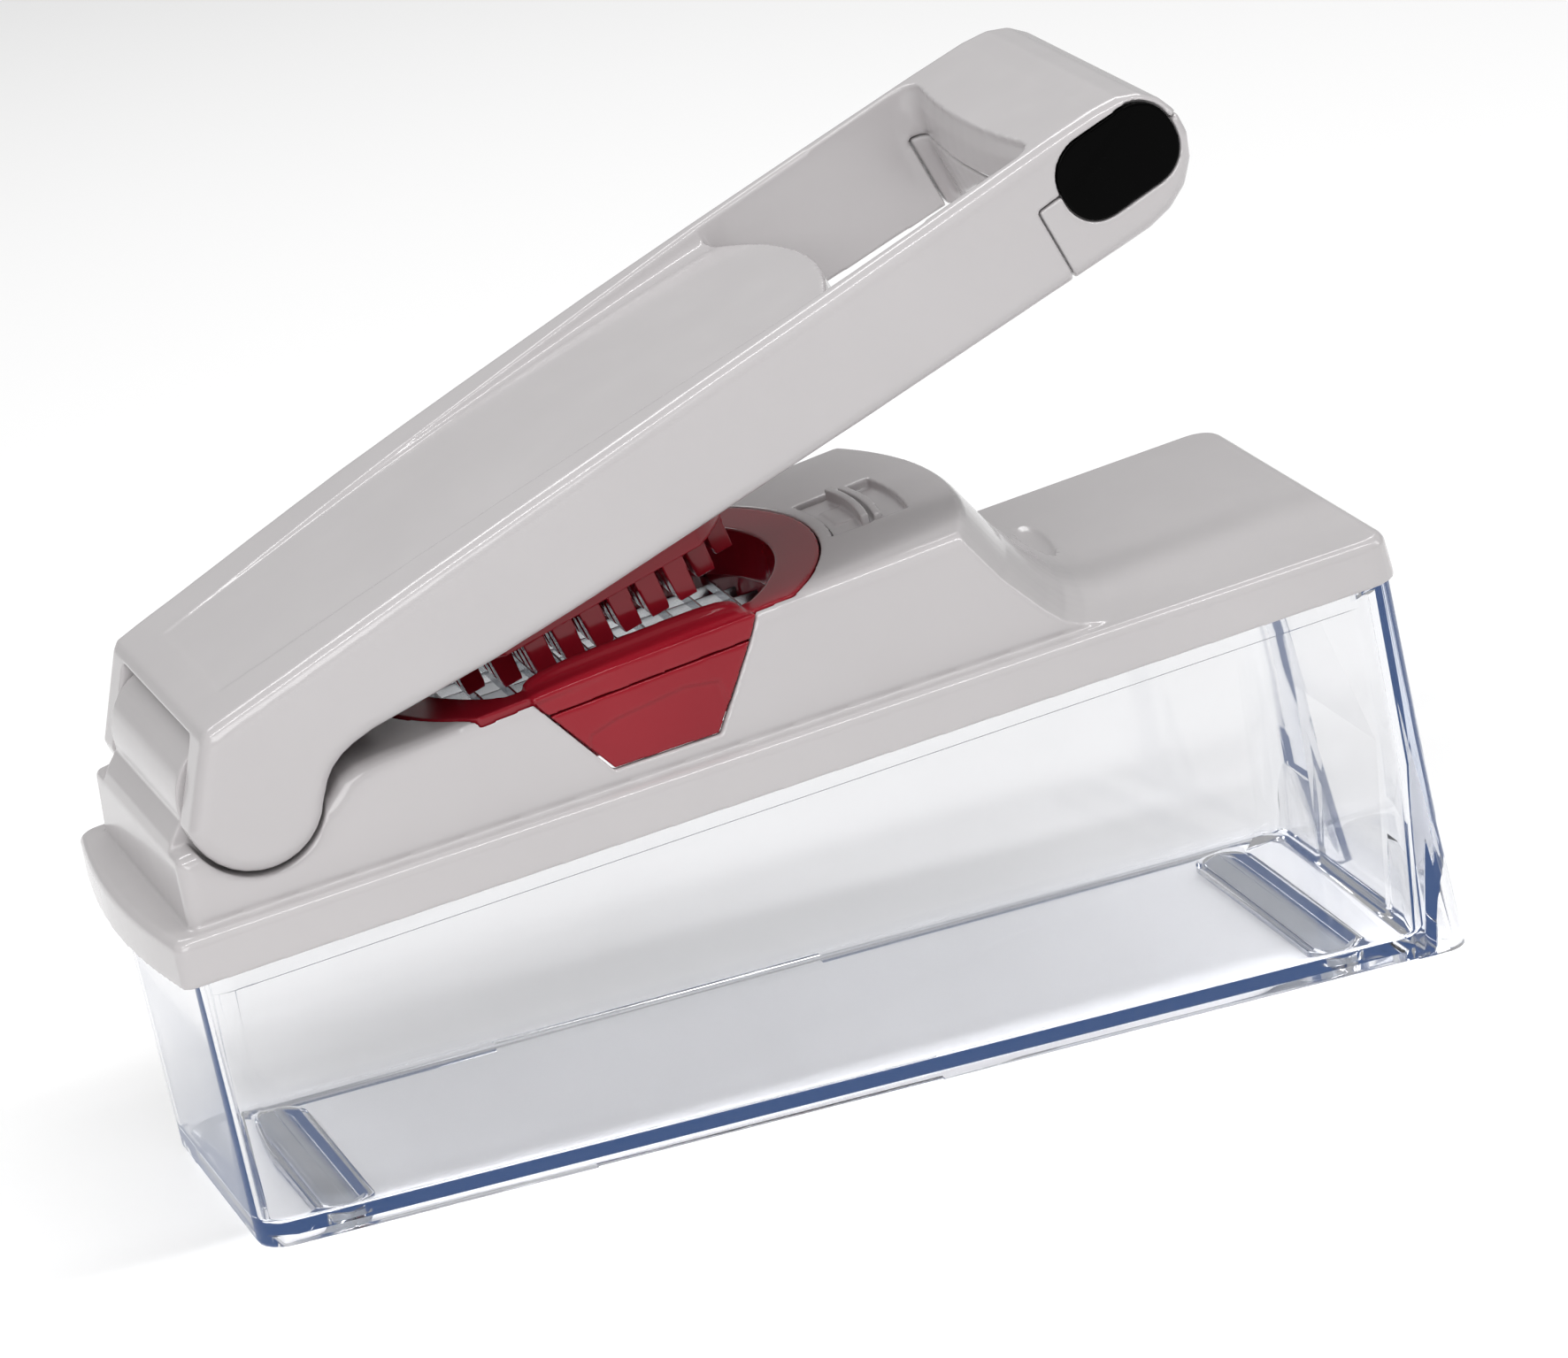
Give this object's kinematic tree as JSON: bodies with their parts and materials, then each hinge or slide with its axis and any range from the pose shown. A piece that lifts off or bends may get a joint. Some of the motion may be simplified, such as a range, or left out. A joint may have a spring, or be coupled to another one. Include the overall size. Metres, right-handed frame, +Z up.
{
  "type": "hand-lever vegetable dicer",
  "caption": "Hand-lever vegetable dicer: clear wedge-shaped container, white lid with a red blade insert, and a hinged press handle with a studded pusher.",
  "frame": {"origin": "middle of the bounding box in X and Y, at the height of the feet", "axes": "+X from the hinge end to the free end, +Y to the back, +Z up"},
  "size_m": [0.297, 0.1088, 0.212],
  "materials": {
    "shell_plastic": "glossy light grey-white moulded plastic",
    "red_plastic": "glossy deep red moulded plastic",
    "black_plastic": "glossy black moulded plastic",
    "clear_plastic": "clear moulded plastic with faintly blue edges",
    "foot_strip": "translucent grey silicone",
    "steel": "polished stainless steel"
  },
  "bodies": {
    "container_body": {"container": "clear_plastic", "foot_strip_hinge_end": "foot_strip", "foot_strip_free_end": "foot_strip"},
    "lid_body": {"lid_housing": "shell_plastic", "hinge_pin_front": "steel", "hinge_pin_back": "steel", "insert_upper_frame": "red_plastic", "insert_lower_frame": "red_plastic", "cross_blade_01": "steel", "cross_blade_02": "steel", "cross_blade_03": "steel", "cross_blade_04": "steel", "cross_blade_05": "steel", "cross_blade_06": "steel", "cross_blade_07": "steel", "cross_blade_08": "steel", "cross_blade_09": "steel", "cross_blade_10": "steel", "cross_blade_11": "steel", "long_blade_1": "steel", "long_blade_2": "steel", "long_blade_3": "steel", "long_blade_4": "steel", "long_blade_5": "steel", "long_blade_6": "steel", "long_blade_7": "steel", "long_blade_8": "steel", "long_blade_9": "steel"},
    "latch_body": {"latch_slider": "shell_plastic"},
    "handle_body": {"handle_shell": "shell_plastic", "carrier_plate": "shell_plastic", "grip_cover": "shell_plastic", "grip_plug_front": "black_plastic", "grip_plug_back": "black_plastic", "pusher": "red_plastic"}
  },
  "joints": [
    {"name": "lid_lift", "type": "slide", "parent": "container_body", "child": "lid_body", "axis": [-0.0936, 0, 0.9956], "range_m": [0, 0.06]},
    {"name": "handle_hinge", "type": "hinge", "parent": "lid_body", "child": "handle_body", "pos_m": [-0.12134, 0, 0.10244], "axis": [0, -1, 0], "range_deg": [-11.2, 70]},
    {"name": "latch_slide", "type": "slide", "parent": "lid_body", "child": "latch_body", "axis": [0.9956, 0, 0.0936], "range_m": [0, 0.0048]}
  ]
}
